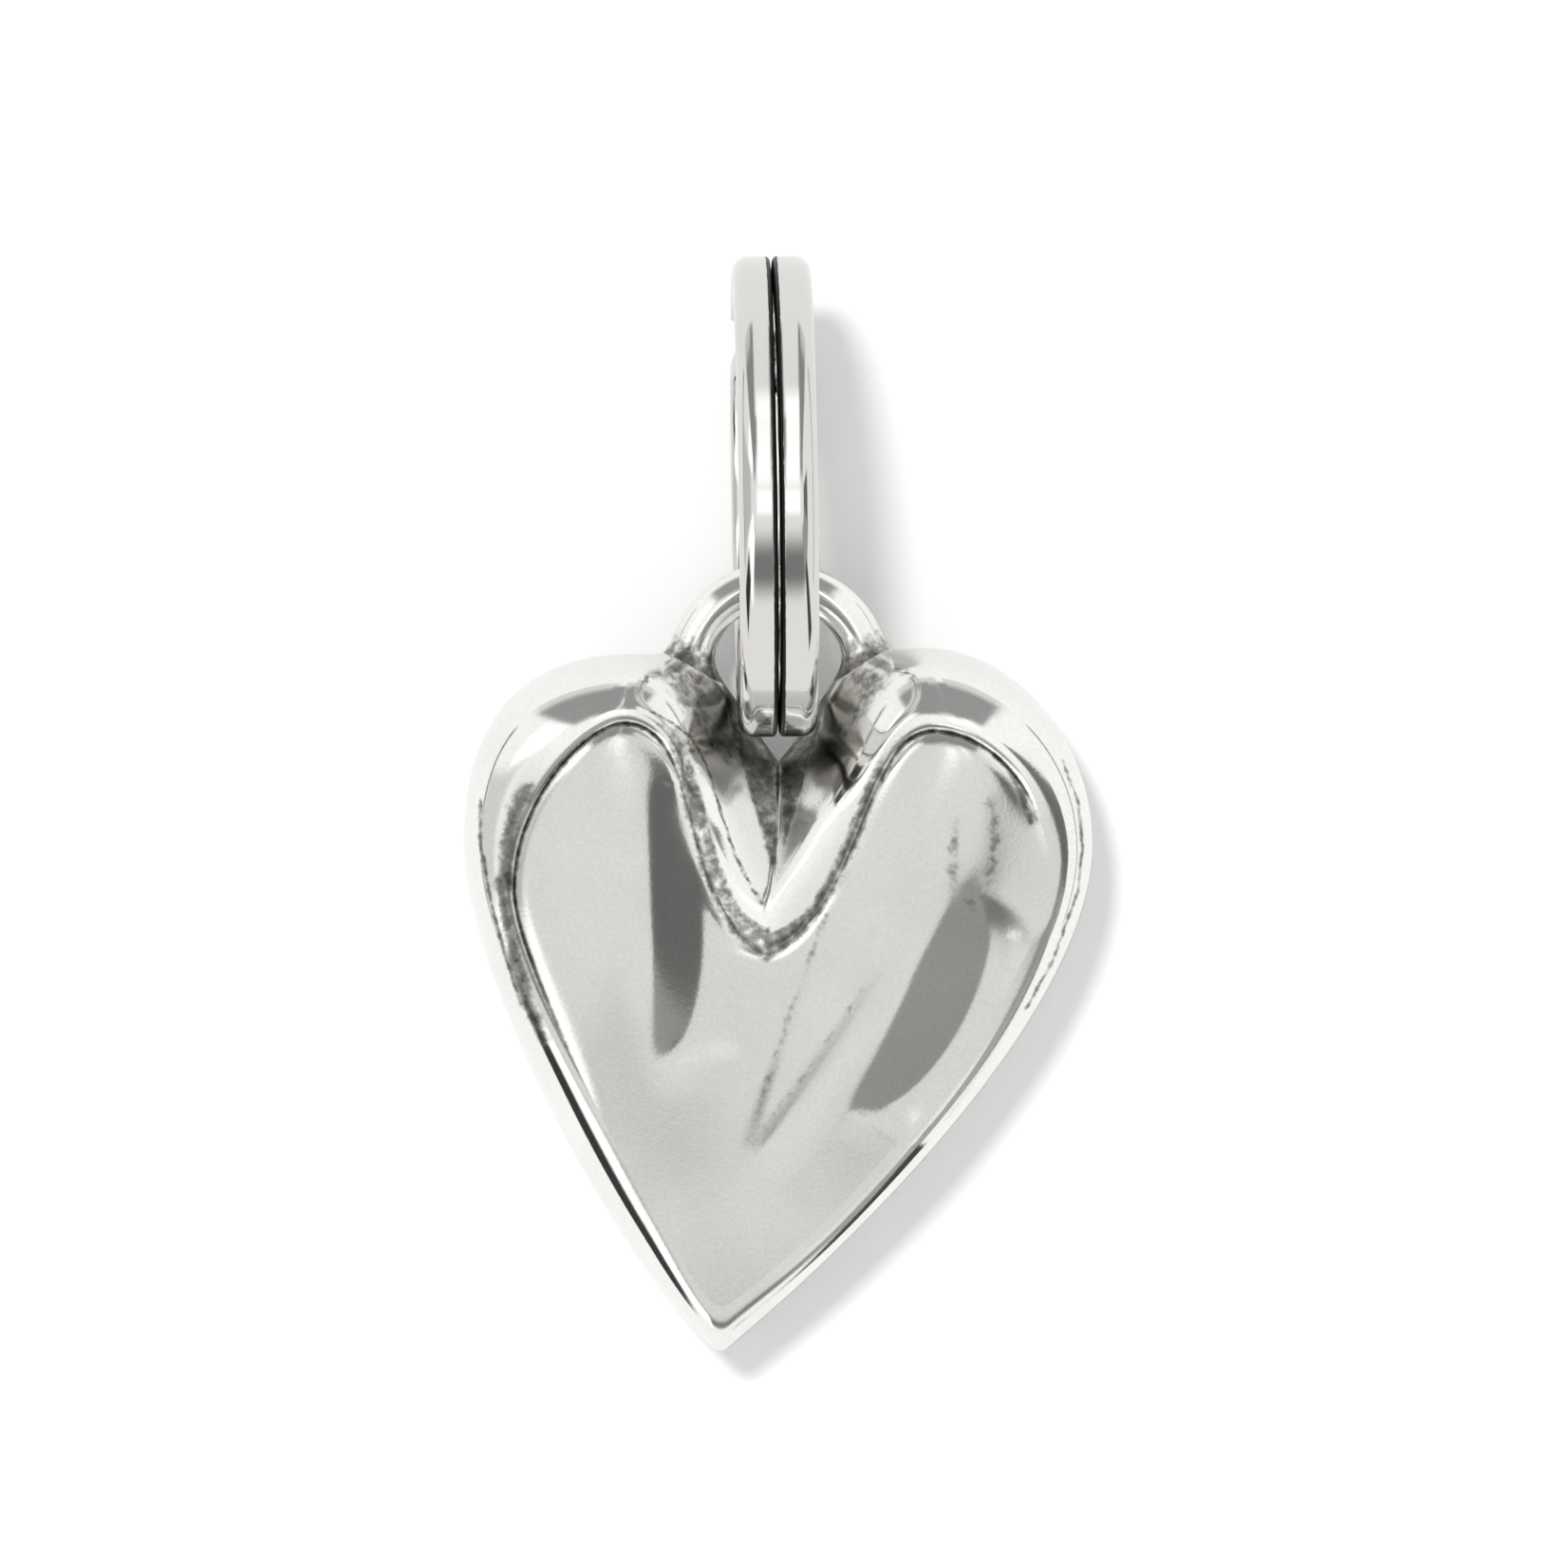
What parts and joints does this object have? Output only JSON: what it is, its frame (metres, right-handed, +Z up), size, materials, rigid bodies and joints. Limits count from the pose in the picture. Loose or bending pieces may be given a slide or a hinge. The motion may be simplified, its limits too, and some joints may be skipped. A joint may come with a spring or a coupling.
{
  "type": "heart charm",
  "caption": "Puffed metal heart with a deep cleft and a wire ear, linked to a split ring of flat wire that swings in the ear.",
  "frame": {"origin": "on the table, under the middle of the part's box", "axes": "+X across the heart, +Y in the heart's plane from its point towards the ring, +Z up from the table, out of the heart's front"},
  "size_m": [0.0158, 0.0274, 0.012],
  "materials": {
    "antiqued_silver": "cast, polished and antiqued, dark in the recesses",
    "polished_silver": "drawn wire, polished, dark in the groove between the turns"
  },
  "bodies": {
    "heart": {"heart": "antiqued_silver"},
    "split_ring": {"split_ring": "polished_silver"}
  },
  "joints": [
    {"name": "ring_swing", "type": "hinge", "parent": "heart", "child": "split_ring", "pos_m": [0, 0.00536, 0.0027], "axis": [1, 0, 0], "range_deg": [-112, 7]}
  ]
}
